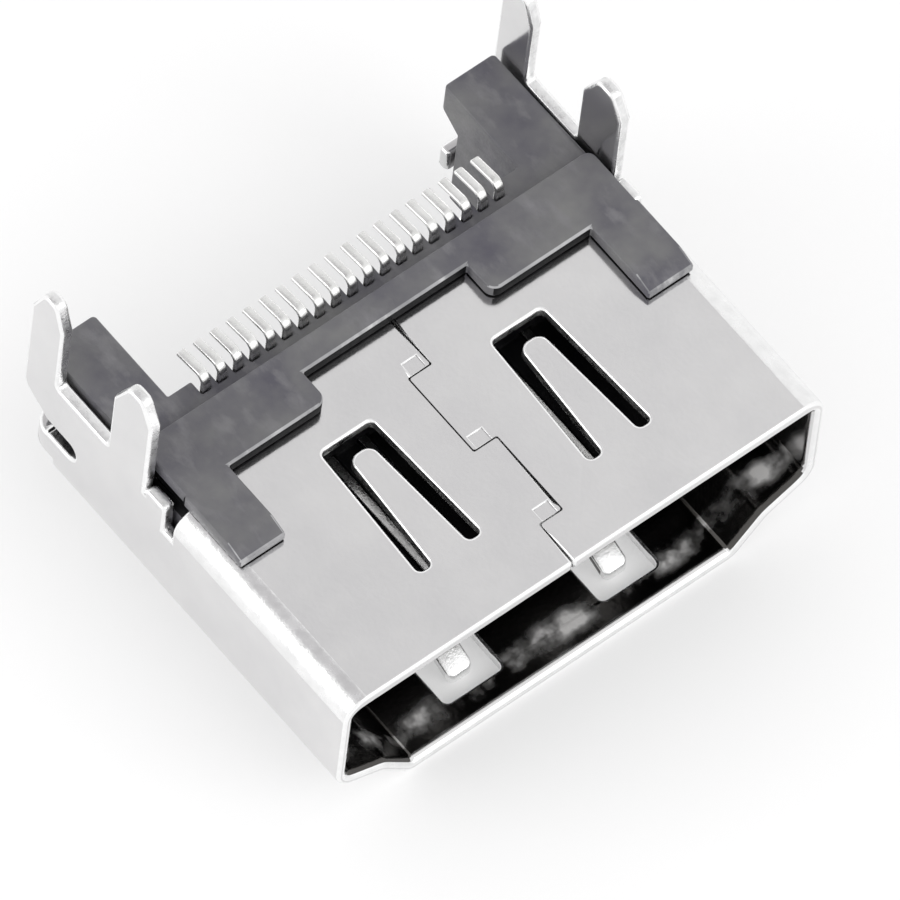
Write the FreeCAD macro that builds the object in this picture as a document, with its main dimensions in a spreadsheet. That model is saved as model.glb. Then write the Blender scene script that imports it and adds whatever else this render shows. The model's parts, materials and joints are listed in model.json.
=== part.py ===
import FreeCAD, Part
import math
import os
import re

import Sketcher

# A board-mounted video socket with 19 contacts, lying on its narrow face with the solder side up.
# The mouth faces -Y and the socket's centre plane is X = 0. Sizes are in millimetres and degrees.
# A start, an end or a front is a distance behind the mouth plane. Heights are measured upward
# from the underside of the narrow face, and a rise or a drop is measured from the wide face.

SIZES = [
    # Mouth and folded sheet
    ("sheet", 0.35),
    ("opening_width", 14.0),
    ("opening_height", 4.55),
    ("corner_bend", 0.30),
    ("wall_foot", 1.84),
    ("foot_bend", 0.40),
    ("shelf_run", 1.25),
    ("shelf_slope", 24.0),
    ("shelf_bend", 0.50),
    ("flare_slope", 46.0),
    ("flare_bend", 0.15),
    ("lip_depth", 0.24),
    ("lip_width", 0.14),
    ("narrow_face_end", 11.0),
    ("wide_face_end", 7.9),
    # Spring fingers of the wide face
    ("wide_finger_spacing", 5.22),
    ("wide_slot_start", 1.97),
    ("wide_slot_end", 5.95),
    ("wide_slot_front_width", 1.92),
    ("wide_slot_rear_width", 1.56),
    ("wide_finger_end", 5.45),
    ("wide_finger_root_width", 1.12),
    ("wide_finger_tip_width", 0.70),
    ("slot_round", 0.16),
    ("finger_round", 0.30),
    # Spring fingers of the narrow face
    ("window_spacing", 4.78),
    ("window_start", 0.78),
    ("window_end", 4.70),
    ("window_width", 1.75),
    ("narrow_finger_start", 1.25),
    ("narrow_finger_width", 0.74),
    ("narrow_finger_lift", 0.30),
    ("narrow_finger_lead", 0.70),
    ("narrow_finger_bend", 0.25),
    ("narrow_finger_round", 0.20),
    # Seam where the folded sheet meets
    ("seam_shift", 0.07),
    ("seam_swing", 0.35),
    ("seam_gap", 0.04),
    ("seam_round", 0.06),
    ("seam_first_jog", 1.30),
    ("seam_second_jog", 3.80),
    ("seam_third_jog", 6.30),
    ("stake_width", 0.46),
    ("stake_length", 0.38),
    ("stake_depth", 0.06),
    ("stake_margin", 0.04),
    # Relief notch and barb at each upper corner
    ("relief_start", 6.60),
    ("relief_depth", 1.07),
    ("relief_inset", 0.72),
    ("barb_start", 6.95),
    ("barb_end", 7.70),
    ("barb_drop", 0.10),
    ("barb_round", 0.14),
    ("slit_width", 0.04),
    ("slit_drop", 0.35),
    # Board legs
    ("leg_rise", 3.25),
    ("leg_round", 0.28),
    ("front_leg_width", 1.40),
    ("front_leg_flat", 0.53),
    ("front_leg_lead", 0.40),
    ("front_bevel_height", 0.75),
    ("rear_bevel_height", 0.98),
    ("rear_leg_start", 11.10),
    ("rear_leg_width", 1.15),
    ("rear_leg_flat", 0.47),
    ("rear_leg_lead", 0.32),
    ("rear_leg_bevel", 0.87),
    ("ledge_drop", 0.05),
    ("ledge_round", 0.15),
    # Side slots and wrap tabs
    ("side_slot_start", 10.20),
    ("side_slot_drop", 1.75),
    ("side_slot_height", 0.58),
    ("side_slot_round", 0.28),
    ("leg_heel_drop", 1.15),
    ("leg_heel_run", 0.50),
    ("tab_foot", 2.10),
    ("tab_height", 0.78),
    ("tab_front", 11.58),
    ("tab_reach", 2.10),
    ("tab_bend", 0.30),
    ("tab_round", 0.12),
    # Housing on top of the wide face
    ("plate_rise", 0.45),
    ("arm_front", 4.58),
    ("arm_width", 1.39),
    ("arm_inset", 0.40),
    ("arm_end", 6.75),
    ("ramp_length", 0.55),
    ("ramp_drop", 0.17),
    ("block_front", 6.80),
    ("block_round", 0.30),
    ("plate_end", 8.52),
    ("plate_round", 0.25),
    ("web_front", 7.76),
    ("web_width", 5.04),
    # Housing between the walls
    ("wall_gap", 0.10),
    ("fit_gap", 0.03),
    ("core_front", 6.50),
    ("comb_rear", 9.33),
    ("comb_side", 0.86),
    ("cheek_end", 11.50),
    ("ear_end", 12.15),
    ("ear_face_drop", 0.93),
    ("ear_slant_drop", 1.41),
    ("ear_round", 0.12),
    # Tongue
    ("tongue_front", 2.20),
    ("tongue_thickness", 1.35),
    ("tongue_side", 0.95),
    ("tongue_nose", 0.25),
    # Contacts
    ("contact_count", 19),
    ("contact_pitch", 0.50),
    ("contact_width", 0.25),
    ("contact_stock", 0.13),
    ("contact_front", 2.70),
    ("contact_proud", 0.03),
    ("contact_gap", 0.025),
    ("stem_front", 8.92),
    ("tail_end", 9.98),
    ("tail_rise", 0.62),
    ("tail_slope", 9.0),
    ("tip_round", 0.06),
    ("root_bend", 0.06),
    ("knee_bend", 0.17),
]

# Places worked out from the driving sizes.
PLACES = {
    "half_opening": "opening_width / 2",
    "half_width": "half_opening + sheet",
    "wide_inner": "sheet + opening_height",
    "wide_outer": "wide_inner + sheet",
    "shelf_x": "half_opening - shelf_run",
    "shelf_z": "wall_foot - shelf_run * tan(shelf_slope)",
    "flare_x": "shelf_x - (shelf_z - sheet) / tan(flare_slope)",
    "front_leg_start": "barb_end + slit_width",
    "front_leg_end": "front_leg_start + front_leg_width",
    "rear_leg_end": "rear_leg_start + rear_leg_width",
    "slit_foot": "wide_outer - slit_drop",
    "leg_peak": "wide_outer + leg_rise",
    "slot_top": "wide_outer - side_slot_drop",
    "slot_foot": "slot_top - side_slot_height",
    "plate_top": "wide_outer + plate_rise",
    "core_half": "half_opening - wall_gap",
    "arm_outer": "half_width - arm_inset",
    "row_half": "(contact_count - 1) * contact_pitch / 2",
    "cheek_inner": "row_half + comb_side",
    "tongue_half": "row_half + tongue_side",
    "tongue_middle": "sheet + opening_height / 2",
    "tongue_top": "tongue_middle + tongue_thickness / 2",
    "tongue_foot": "tongue_middle - tongue_thickness / 2",
    "stem_rear": "stem_front + contact_stock",
    "deck_top": "wide_outer + fit_gap",
    "tail_top": "wide_outer + tail_rise",
    "tail_fall": "(tail_end - stem_front) * tan(tail_slope)",
    "tail_thick": "contact_stock / cos(tail_slope)",
    "upper_beam_top": "tongue_top + contact_proud",
    "upper_beam_foot": "upper_beam_top - contact_stock",
    "lower_beam_foot": "tongue_foot - contact_proud",
    "lower_beam_top": "lower_beam_foot + contact_stock",
    "root_outer": "root_bend + contact_stock",
    "knee_outer": "knee_bend + contact_stock",
}

# Room that a cutting shape takes beyond the solid it cuts.
OVERRUN = "1"
# Two places closer than this are the same place.
TOLERANCE = 1e-6

document = FreeCAD.newDocument("video_socket")
sheet = document.addObject("Spreadsheet::Sheet", "Sizes")
for row, (size_name, size_value) in enumerate(SIZES, start=1):
    sheet.set(f"A{row}", size_name)
    sheet.set(f"B{row}", str(size_value))
    sheet.setAlias(f"B{row}", size_name)
document.recompute()
SIZE_NAMES = {size_name for size_name, size_value in SIZES}


# Words and sketches

def express(words):
    """Write words of SIZES and PLACES as an expression on the size sheet."""
    def expand(match):
        word = match.group(0)
        if word in PLACES:
            return f"({express(PLACES[word])})"
        return f"Sizes.{word}" if word in SIZE_NAMES else word
    return re.sub(r"[a-z_]+", expand, words)


def value(words):
    return float(sheet.evalExpression(express(words)))


def point(x, y):
    return FreeCAD.Vector(value(x), value(y), 0)


def new_body(label):
    """A body whose mouth plane is set half the socket's depth in front of the origin."""
    body = document.addObject("PartDesign::Body", label)
    body.Label = label
    body.setExpression("Placement.Base.y", express("-rear_leg_end / 2"))
    return body


def new_sketch(body, name, role, offset="0"):
    """A sketch on one of the body's origin planes, moved along that plane's normal."""
    sketch = body.newObject("Sketcher::SketchObject", name)
    plane = next(feature for feature in body.Origin.OriginFeatures if feature.Role == role)
    sketch.AttachmentSupport = [(plane, "")]
    sketch.MapMode = "FlatFace"
    sketch.setExpression("AttachmentOffset.Base.z", express(offset))
    return sketch


def draw(sketch, corners):
    """Add a closed outline. A corner is (x, y), or (x, y, radius) where it is rounded."""
    count = len(corners)
    places = [point(corner[0], corner[1]) for corner in corners]
    rounds = {}
    for index, corner in enumerate(corners):
        if len(corner) == 3:
            rounds[index] = round_corner(places, index, value(corner[2]))
    first_line = sketch.GeometryCount
    for index in range(count):
        following = (index + 1) % count
        start = rounds[index]["end"] if index in rounds else places[index]
        end = rounds[following]["start"] if following in rounds else places[following]
        sketch.addGeometry(Part.LineSegment(start, end), False)
    for index, corner in enumerate(corners):
        before = first_line + (index - 1) % count
        after = first_line + index
        if index in rounds:
            join_round(sketch, rounds[index], places[index], before, after, corner[2])
            held = sketch.GeometryCount - 1
        else:
            sketch.addConstraint(Sketcher.Constraint("Coincident", before, 2, after, 1))
            held = after
        hold(sketch, "DistanceX", (-1, 1, held, 1), corner[0])
        hold(sketch, "DistanceY", (-1, 1, held, 1), corner[1])
    return sketch


def round_corner(places, index, radius):
    """Where a round of the given radius leaves the two lines that meet in a corner."""
    corner = places[index]
    back = (places[index - 1] - corner).normalize()
    ahead = (places[(index + 1) % len(places)] - corner).normalize()
    half_angle = back.getAngle(ahead) / 2
    reach = radius / math.tan(half_angle)
    centre = corner + (back + ahead).normalize() * (radius / math.sin(half_angle))
    return {
        "start": corner + back * reach,
        "end": corner + ahead * reach,
        "centre": centre,
        "radius": radius,
        "left_turn": ahead.cross(back).z > 0,
    }


def join_round(sketch, bend, corner, before, after, radius):
    """Add the arc of a round, tangent to its two lines, and a point where the lines would meet."""
    def angle(place):
        spoke = place - bend["centre"]
        return math.atan2(spoke.y, spoke.x)
    circle = Part.Circle(bend["centre"], FreeCAD.Vector(0, 0, 1), bend["radius"])
    first, last = ("start", "end") if bend["left_turn"] else ("end", "start")
    arc = sketch.addGeometry(Part.ArcOfCircle(circle, angle(bend[first]), angle(bend[last])), False)
    entry, leave = (1, 2) if bend["left_turn"] else (2, 1)
    sketch.addConstraint(Sketcher.Constraint("Tangent", before, 2, arc, entry))
    sketch.addConstraint(Sketcher.Constraint("Tangent", arc, leave, after, 1))
    hold(sketch, "Radius", (arc,), radius)
    meeting = sketch.addGeometry(Part.Point(corner), True)
    sketch.addConstraint(Sketcher.Constraint("PointOnObject", meeting, 1, before))
    sketch.addConstraint(Sketcher.Constraint("PointOnObject", meeting, 1, after))


def hold(sketch, kind, elements, words):
    """Add a dimension that follows the size sheet."""
    number = sketch.addConstraint(Sketcher.Constraint(kind, *elements, value(words)))
    sketch.setExpression(f"Constraints[{number}]", express(words))


def mirrored(corners):
    """The same corners on the other side of the centre plane, in the opposite order."""
    return [(f"-({corner[0]})", *corner[1:]) for corner in reversed(corners)]


# Features

def add(body, name, sketch, length, backward=False):
    """Pad a sketch along its normal, or against it when backward."""
    pad = body.newObject("PartDesign::Pad", name)
    pad.Profile = sketch
    pad.Reversed = backward
    pad.setExpression("Length", express(length))
    document.recompute()
    return pad


def cut(body, name, sketch, length, forward=False, symmetric=False):
    """Cut a sketch against its normal, along it when forward, or both ways when symmetric."""
    volume = body.Shape.Volume
    pocket = body.newObject("PartDesign::Pocket", name)
    pocket.Profile = sketch
    pocket.Reversed = forward
    if symmetric:
        pocket.SideType = "Symmetric"
    pocket.setExpression("Length", express(length))
    document.recompute()
    if body.Shape.Volume >= volume:
        raise ValueError(f"{name} cuts nothing")
    return pocket


def mirror(body, name, feature):
    """Repeat a feature on the other side of the centre plane."""
    copy = body.newObject("PartDesign::Mirrored", name)
    plane = next(part for part in body.Origin.OriginFeatures if part.Role == "YZ_Plane")
    copy.Originals = [feature]
    copy.MirrorPlane = (plane, [""])
    body.Tip = copy
    document.recompute()
    return copy


def edges_of(feature, is_wanted):
    """Names of the edges whose bounding box passes the test."""
    edges = feature.Shape.Edges
    return [f"Edge{number}" for number, edge in enumerate(edges, start=1) if is_wanted(edge.BoundBox)]


# Shell

def contour(out, side_out):
    """Right half of the opening's outline, from the narrow face up, grown outward by a distance."""
    half_turn = "(flare_slope - shelf_slope) / 2"
    lean = "(flare_slope + shelf_slope) / 2"
    return [
        (f"flare_x + ({out}) * tan(flare_slope / 2)", f"sheet - ({out})", f"flare_bend + ({out})"),
        (f"shelf_x + ({out}) * sin({lean}) / cos({half_turn})",
         f"shelf_z - ({out}) * cos({lean}) / cos({half_turn})",
         f"shelf_bend + sheet - ({out})"),
        (f"half_opening + ({side_out})",
         f"wall_foot + ({side_out}) * tan(shelf_slope) - ({out}) / cos(shelf_slope)",
         f"foot_bend + ({out})"),
        (f"half_opening + ({side_out})", f"wide_inner + ({out})", f"corner_bend + ({out})"),
    ]


def ring(half):
    """A closed outline from its right half."""
    return half + mirrored(half)


def make_shell():
    body = new_body("shell")
    section = new_sketch(body, "mouth_section", "XZ_Plane")
    draw(section, ring(contour("sheet", "sheet")))
    draw(section, ring(contour("0", "0")))
    add(body, "folded_tube", section, "narrow_face_end", backward=True)
    coin_lip(body)
    open_rear(body)
    add_walls(body)
    add_tabs(body)
    cut_side_slots(body)
    cut_wide_fingers(body)
    cut_windows(body)
    add_narrow_fingers(body)
    cut_seam(body)
    press_stakes(body)
    return body


def coin_lip(body):
    """Lead-in bevel round the mouth's inner edge, except on the wide face."""
    section = new_sketch(body, "lip_section", "XZ_Plane")
    lower = contour("lip_width", "lip_width")[:3]
    draw(section, ring(lower + [("half_opening + lip_width", "wide_inner", "corner_bend")]))
    lip = cut(body, "coined_lip", section, "lip_depth")
    lip.setExpression("TaperAngle", express("-atan(lip_width / lip_depth)"))
    document.recompute()


def open_rear(body):
    """Where the wide face ends, and the relief notches beside it."""
    plan = new_sketch(body, "rear_opening_plan", "XY_Plane", "wide_outer")
    inner = "half_width - relief_inset"
    outer = f"half_width + {OVERRUN}"
    rear = f"narrow_face_end + {OVERRUN}"
    half = [(inner, "wide_face_end"), (inner, "relief_start"), (outer, "relief_start"), (outer, rear)]
    draw(plan, ring(half))
    cut(body, "rear_opening", plan, "relief_depth")


def add_walls(body):
    """Side wall behind the notch: barb, front leg, ledge, rear leg and the strip below its slot."""
    profile = new_sketch(body, "wall_profile", "YZ_Plane", "half_opening")
    barb_top = "wide_outer - barb_drop"
    ledge = "wide_outer - ledge_drop"
    front_flat_end = "front_leg_start + front_leg_lead + front_leg_flat"
    rear_flat_start = "rear_leg_start + rear_leg_lead"
    strip_end = "tab_front - tab_bend"
    strip_start = "narrow_face_end - sheet"
    draw(profile, [
        (strip_start, "tab_foot"),
        (strip_start, "slot_foot - sheet"),
        ("barb_start", "slot_foot - sheet"),
        ("barb_start", barb_top, "barb_round"),
        ("barb_end", barb_top, "barb_round"),
        ("barb_end", "slit_foot"),
        ("front_leg_start", "slit_foot"),
        ("front_leg_start", "leg_peak - front_bevel_height"),
        ("front_leg_start + front_leg_lead", "leg_peak", "leg_round"),
        (front_flat_end, "leg_peak", "leg_round"),
        ("front_leg_end", "leg_peak - rear_bevel_height"),
        ("front_leg_end", ledge, "ledge_round"),
        ("rear_leg_start", ledge, "ledge_round"),
        ("rear_leg_start", "leg_peak - rear_leg_bevel"),
        (rear_flat_start, "leg_peak", "leg_round"),
        (f"{rear_flat_start} + rear_leg_flat", "leg_peak", "leg_round"),
        ("rear_leg_end", "leg_peak - rear_leg_bevel"),
        ("rear_leg_end", "wide_outer - leg_heel_drop", "leg_heel_run"),
        (strip_end, "slot_top"),
        (strip_end, "tab_foot"),
    ])
    wall = add(body, "side_wall", profile, "sheet")
    mirror(body, "side_wall_pair", wall)


def add_tabs(body):
    """Tab that bends inward behind the housing's cheek."""
    plan = new_sketch(body, "tab_plan", "XY_Plane", "tab_foot")
    root = "tab_front - tab_bend - sheet / 2"
    tip = "half_width - tab_reach"
    rear = "tab_front + sheet"
    draw(plan, [
        ("half_opening", root),
        ("half_width", root),
        ("half_width", rear, "tab_bend + sheet"),
        (tip, rear, "tab_round"),
        (tip, "tab_front", "tab_round"),
        ("half_opening", "tab_front", "tab_bend"),
    ])
    tab = add(body, "wrap_tab", plan, "tab_height")
    mirror(body, "wrap_tab_pair", tab)


def cut_side_slots(body):
    profile = new_sketch(body, "side_slot_profile", "YZ_Plane")
    rear = f"tab_front + {OVERRUN}"
    draw(profile, [
        ("side_slot_start", "slot_foot", "side_slot_round"),
        (rear, "slot_foot"),
        (rear, "slot_top"),
        ("side_slot_start", "slot_top", "side_slot_round"),
    ])
    cut(body, "side_slots", profile, "2 * half_width", symmetric=True)


def cut_wide_fingers(body):
    """U slots that free two fingers, rooted toward the mouth."""
    plan = new_sketch(body, "wide_finger_plan", "XY_Plane", "wide_outer")
    for side in ("-1", "1"):
        middle = f"{side} * wide_finger_spacing / 2"
        draw(plan, [
            (f"{middle} + wide_slot_front_width / 2", "wide_slot_start", "slot_round"),
            (f"{middle} + wide_slot_rear_width / 2", "wide_slot_end", "slot_round"),
            (f"{middle} - wide_slot_rear_width / 2", "wide_slot_end", "slot_round"),
            (f"{middle} - wide_slot_front_width / 2", "wide_slot_start", "slot_round"),
            (f"{middle} - wide_finger_root_width / 2", "wide_slot_start", "slot_round"),
            (f"{middle} - wide_finger_tip_width / 2", "wide_finger_end", "finger_round"),
            (f"{middle} + wide_finger_tip_width / 2", "wide_finger_end", "finger_round"),
            (f"{middle} + wide_finger_root_width / 2", "wide_slot_start", "slot_round"),
        ])
    cut(body, "wide_finger_slots", plan, "2 * sheet")


def cut_windows(body):
    """Windows in the narrow face, one for each of its fingers."""
    plan = new_sketch(body, "window_plan", "XY_Plane")
    for side in ("-1", "1"):
        middle = f"{side} * window_spacing / 2"
        draw(plan, [
            (f"{middle} + window_width / 2", "window_start", "slot_round"),
            (f"{middle} + window_width / 2", "window_end", "slot_round"),
            (f"{middle} - window_width / 2", "window_end", "slot_round"),
            (f"{middle} - window_width / 2", "window_start", "slot_round"),
        ])
    cut(body, "windows", plan, "sheet", forward=True)


def add_narrow_fingers(body):
    """Fingers rooted at the rear of the windows, which bow into the opening near their tips."""
    profile = new_sketch(body, "finger_profile", "YZ_Plane", "window_spacing / 2 - narrow_finger_width / 2")
    crest = "narrow_finger_start + narrow_finger_lead"
    draw(profile, [
        ("window_end", "0"),
        ("window_end", "sheet"),
        (crest, "sheet + narrow_finger_lift", "narrow_finger_bend + sheet"),
        ("narrow_finger_start", "sheet"),
        ("narrow_finger_start", "0"),
        (crest, "narrow_finger_lift", "narrow_finger_bend"),
    ])
    finger = add(body, "narrow_finger", profile, "narrow_finger_width")
    mirror(body, "narrow_finger_pair", finger)
    front = value("narrow_finger_start")

    def is_tip_edge(box):
        upright = box.ZLength > TOLERANCE and box.XLength < TOLERANCE
        return upright and abs(box.YMin - front) < TOLERANCE and abs(box.YMax - front) < TOLERANCE

    tip = body.Tip
    rounds = body.newObject("PartDesign::Fillet", "finger_tips")
    rounds.Base = (tip, edges_of(tip, is_tip_edge))
    rounds.setExpression("Radius", express("narrow_finger_round"))
    document.recompute()


def cut_seam(body):
    """Seam that steps from side to side on its way back through the wide face."""
    plan = new_sketch(body, "seam_plan", "XY_Plane", "wide_outer")
    left = "-seam_shift - seam_swing"
    right = "-seam_shift + seam_swing"
    half_gap = "seam_gap / 2"
    jogs = [
        (left, right, "seam_first_jog"),
        (right, left, "seam_second_jog"),
        (left, right, "seam_third_jog"),
    ]
    near_side = [(f"{left} + {half_gap}", f"-{OVERRUN}")]
    far_side = [(f"{left} - {half_gap}", f"-{OVERRUN}")]
    for before, after, jog in jogs:
        near_step = "-" if after == right else "+"
        far_step = "+" if after == right else "-"
        near_side.append((f"{before} + {half_gap}", f"{jog} {near_step} {half_gap}", "seam_round"))
        near_side.append((f"{after} + {half_gap}", f"{jog} {near_step} {half_gap}", "seam_round"))
        far_side.append((f"{before} - {half_gap}", f"{jog} {far_step} {half_gap}", "seam_round"))
        far_side.append((f"{after} - {half_gap}", f"{jog} {far_step} {half_gap}", "seam_round"))
    near_side.append((f"{right} + {half_gap}", f"wide_face_end + {OVERRUN}"))
    far_side.append((f"{right} - {half_gap}", f"wide_face_end + {OVERRUN}"))
    draw(plan, near_side + far_side[::-1])
    cut(body, "seam", plan, "2 * sheet")


def press_stakes(body):
    """Shallow dents, one behind each jog, that spread the sheet and lock the seam."""
    plan = new_sketch(body, "stake_plan", "XY_Plane", "wide_outer")
    for jog in ("seam_first_jog", "seam_second_jog", "seam_third_jog"):
        start = f"{jog} + stake_margin"
        draw(plan, [
            ("-seam_shift - stake_width / 2", start),
            ("-seam_shift + stake_width / 2", start),
            ("-seam_shift + stake_width / 2", f"{start} + stake_length"),
            ("-seam_shift - stake_width / 2", f"{start} + stake_length"),
        ])
    cut(body, "stakes", plan, "stake_depth")


# Housing

def make_housing():
    body = new_body("housing")
    section = new_sketch(body, "core_section", "XZ_Plane", "-core_front")
    draw(section, ring(contour("-fit_gap", "-wall_gap")))
    add(body, "core", section, "cheek_end - core_front", backward=True)
    add_top(body)
    add_ears(body)
    cut_tail_bay(body)
    round_ears(body)
    slope_arms(body)
    add_tongue(body)
    cut_comb(body)
    return body


def add_top(body):
    """Deck behind the wide face, and the plate with its arms and blocks that lies on the face."""
    deck_plan = new_sketch(body, "deck_plan", "XY_Plane", "wide_inner - 2 * fit_gap")
    deck_front = "wide_face_end + fit_gap"
    draw(deck_plan, ring([("core_half", deck_front), ("core_half", "cheek_end")]))
    add(body, "deck", deck_plan, "deck_top - wide_inner + 2 * fit_gap")
    plate_plan = new_sketch(body, "plate_plan", "XY_Plane", "deck_top")
    arm_inner = "arm_outer - arm_width"
    draw(plate_plan, ring([
        ("web_width / 2", "web_front"),
        ("web_width / 2", "block_front", "block_round"),
        (arm_inner, "block_front"),
        (arm_inner, "arm_front"),
        ("arm_outer", "arm_front"),
        ("arm_outer", "arm_end"),
        ("core_half", "arm_end"),
        ("core_half", "plate_end", "plate_round"),
    ]))
    add(body, "plate", plate_plan, "plate_rise - fit_gap")


def add_ears(body):
    """Rear of each cheek, whose underside slants forward."""
    profile = new_sketch(body, "ear_profile", "YZ_Plane", "cheek_inner")
    slant = "wide_outer - ear_slant_drop"
    draw(profile, [
        ("comb_rear", "deck_top"),
        ("comb_rear", slant),
        ("cheek_end", slant),
        ("ear_end", "wide_outer - ear_face_drop"),
        ("ear_end", "deck_top"),
    ])
    ear = add(body, "ear", profile, "core_half - cheek_inner")
    mirror(body, "ear_pair", ear)


def round_ears(body):
    """Rounds on the upright edges at the rear of each ear."""
    rear = value("ear_end")

    def is_ear_edge(box):
        on_rear = abs(box.YMin - rear) < TOLERANCE and abs(box.YMax - rear) < TOLERANCE
        return on_rear and box.XLength < TOLERANCE

    tip = body.Tip
    rounds = body.newObject("PartDesign::Fillet", "ear_rounds")
    rounds.Base = (tip, edges_of(tip, is_ear_edge))
    rounds.setExpression("Radius", express("ear_round"))
    document.recompute()


def cut_tail_bay(body):
    """Open space between the cheeks, behind the comb."""
    plan = new_sketch(body, "tail_bay_plan", "XY_Plane", "plate_top")
    draw(plan, ring([("cheek_inner", "comb_rear"), ("cheek_inner", f"ear_end + {OVERRUN}")]))
    cut(body, "tail_bay", plan, "plate_top")


def slope_arms(body):
    """Gentle ramp down to the front end of each arm."""
    profile = new_sketch(body, "arm_ramp_profile", "YZ_Plane")
    draw(profile, [
        (f"arm_front - {OVERRUN}", f"plate_top - ramp_drop * (ramp_length + {OVERRUN}) / ramp_length"),
        ("arm_front + ramp_length", "plate_top"),
        (f"arm_front - {OVERRUN}", "plate_top"),
    ])
    cut(body, "arm_ramps", profile, "2 * half_width", symmetric=True)


def add_tongue(body):
    """Tongue that carries the contacts in the middle of the opening."""
    profile = new_sketch(body, "tongue_profile", "YZ_Plane")
    draw(profile, [
        ("tongue_front", "tongue_foot + tongue_nose"),
        ("tongue_front + tongue_nose", "tongue_foot"),
        (f"core_front + {OVERRUN}", "tongue_foot"),
        (f"core_front + {OVERRUN}", "tongue_top"),
        ("tongue_front + tongue_nose", "tongue_top"),
        ("tongue_front", "tongue_top - tongue_nose"),
    ])
    tongue = add(body, "tongue", profile, "2 * tongue_half")
    tongue.SideType = "Symmetric"
    document.recompute()


def cut_comb(body):
    """Channels that take the contacts, open at the rear and on the tongue's faces."""
    front = "contact_front - contact_gap"
    stem = "stem_front - contact_gap"
    rear = f"comb_rear + {OVERRUN}"
    above = f"deck_top + {OVERRUN}"
    upper_foot = "upper_beam_foot - contact_gap"
    upper_top = "upper_beam_top + contact_gap"
    lower_foot = "lower_beam_foot - contact_gap"
    lower_top = "lower_beam_top + contact_gap"
    upper_channel = [(front, upper_foot), (rear, upper_foot), (rear, above), (stem, above),
                     (stem, upper_top), (front, upper_top)]
    lower_channel = [(front, lower_foot), (rear, lower_foot), (rear, above), (stem, above),
                     (stem, lower_top), (front, lower_top)]
    cut_channels(body, "upper", upper_channel, "0", "(contact_count + 1) / 2")
    cut_channels(body, "lower", lower_channel, "contact_pitch", "(contact_count - 1) / 2")


def cut_channels(body, row, outline, first_shift, count):
    """A row of equal channels, two pitches apart."""
    profile = new_sketch(body, f"{row}_channel_profile", "YZ_Plane", f"{first_shift} - row_half")
    draw(profile, outline)
    width = "contact_width + 2 * contact_gap"
    channel = cut(body, f"{row}_channel", profile, width, symmetric=True)
    channels = body.newObject("PartDesign::LinearPattern", f"{row}_channels")
    axis = next(part for part in body.Origin.OriginFeatures if part.Role == "X_Axis")
    channels.Originals = [channel]
    channels.Direction = (axis, [""])
    channels.setExpression("Length", express(f"2 * contact_pitch * ({count} - 1)"))
    channels.setExpression("Occurrences", express(count))
    body.Tip = channels
    document.recompute()


# Contacts

def make_contact(number):
    """Strip contact: beam on the tongue, stem up through the comb, knee and falling tail."""
    body = new_body(f"contact_{number:02d}")
    on_upper_face = number % 2 == 1
    beam_foot = "upper_beam_foot" if on_upper_face else "lower_beam_foot"
    beam_top = "upper_beam_top" if on_upper_face else "lower_beam_top"
    place = f"{number - 1} * contact_pitch - row_half"
    profile = new_sketch(body, f"strip_profile_{number:02d}", "YZ_Plane", place)
    draw(profile, [
        ("contact_front", beam_foot),
        ("stem_rear", beam_foot, "root_outer"),
        ("stem_rear", "tail_top - tail_thick - contact_stock * tan(tail_slope)", "knee_bend"),
        ("tail_end", "tail_top - tail_fall - tail_thick"),
        ("tail_end", "tail_top - tail_fall", "tip_round"),
        ("stem_front", "tail_top", "knee_outer"),
        ("stem_front", beam_top, "root_bend"),
        ("contact_front", beam_top),
    ])
    strip = add(body, f"strip_{number:02d}", profile, "contact_width")
    strip.SideType = "Symmetric"
    document.recompute()
    return body


# Build, check and write

bodies = [make_shell(), make_housing()]
for contact_number in range(1, int(value("contact_count")) + 1):
    bodies.append(make_contact(contact_number))
document.recompute()

for item in document.Objects:
    if "Invalid" in item.State or "Error" in item.State:
        raise ValueError(f"{item.Label} did not build: {item.State}")
for body in bodies:
    if body.Shape.isNull() or not body.Shape.isValid():
        raise ValueError(f"{body.Label} has no valid shape")

os.makedirs("parts", exist_ok=True)
for body in bodies:
    body.Shape.exportStep(f"parts/{body.Label}.step")
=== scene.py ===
# %% [markdown]
# # A board-mounted video socket with 19 contacts
#
# The real part is a folded, nickel-plated steel shell round a dark moulded housing, with a row of
# 19 tinned contacts that come out at the rear. Its solid parts are already modelled, so this
# lesson is about their looks: soft edges, plating, moulded plastic, tin, and plain soft light.

# %% Load the solid parts
import json
import math

import bpy
from mathutils import Matrix, Vector

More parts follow.
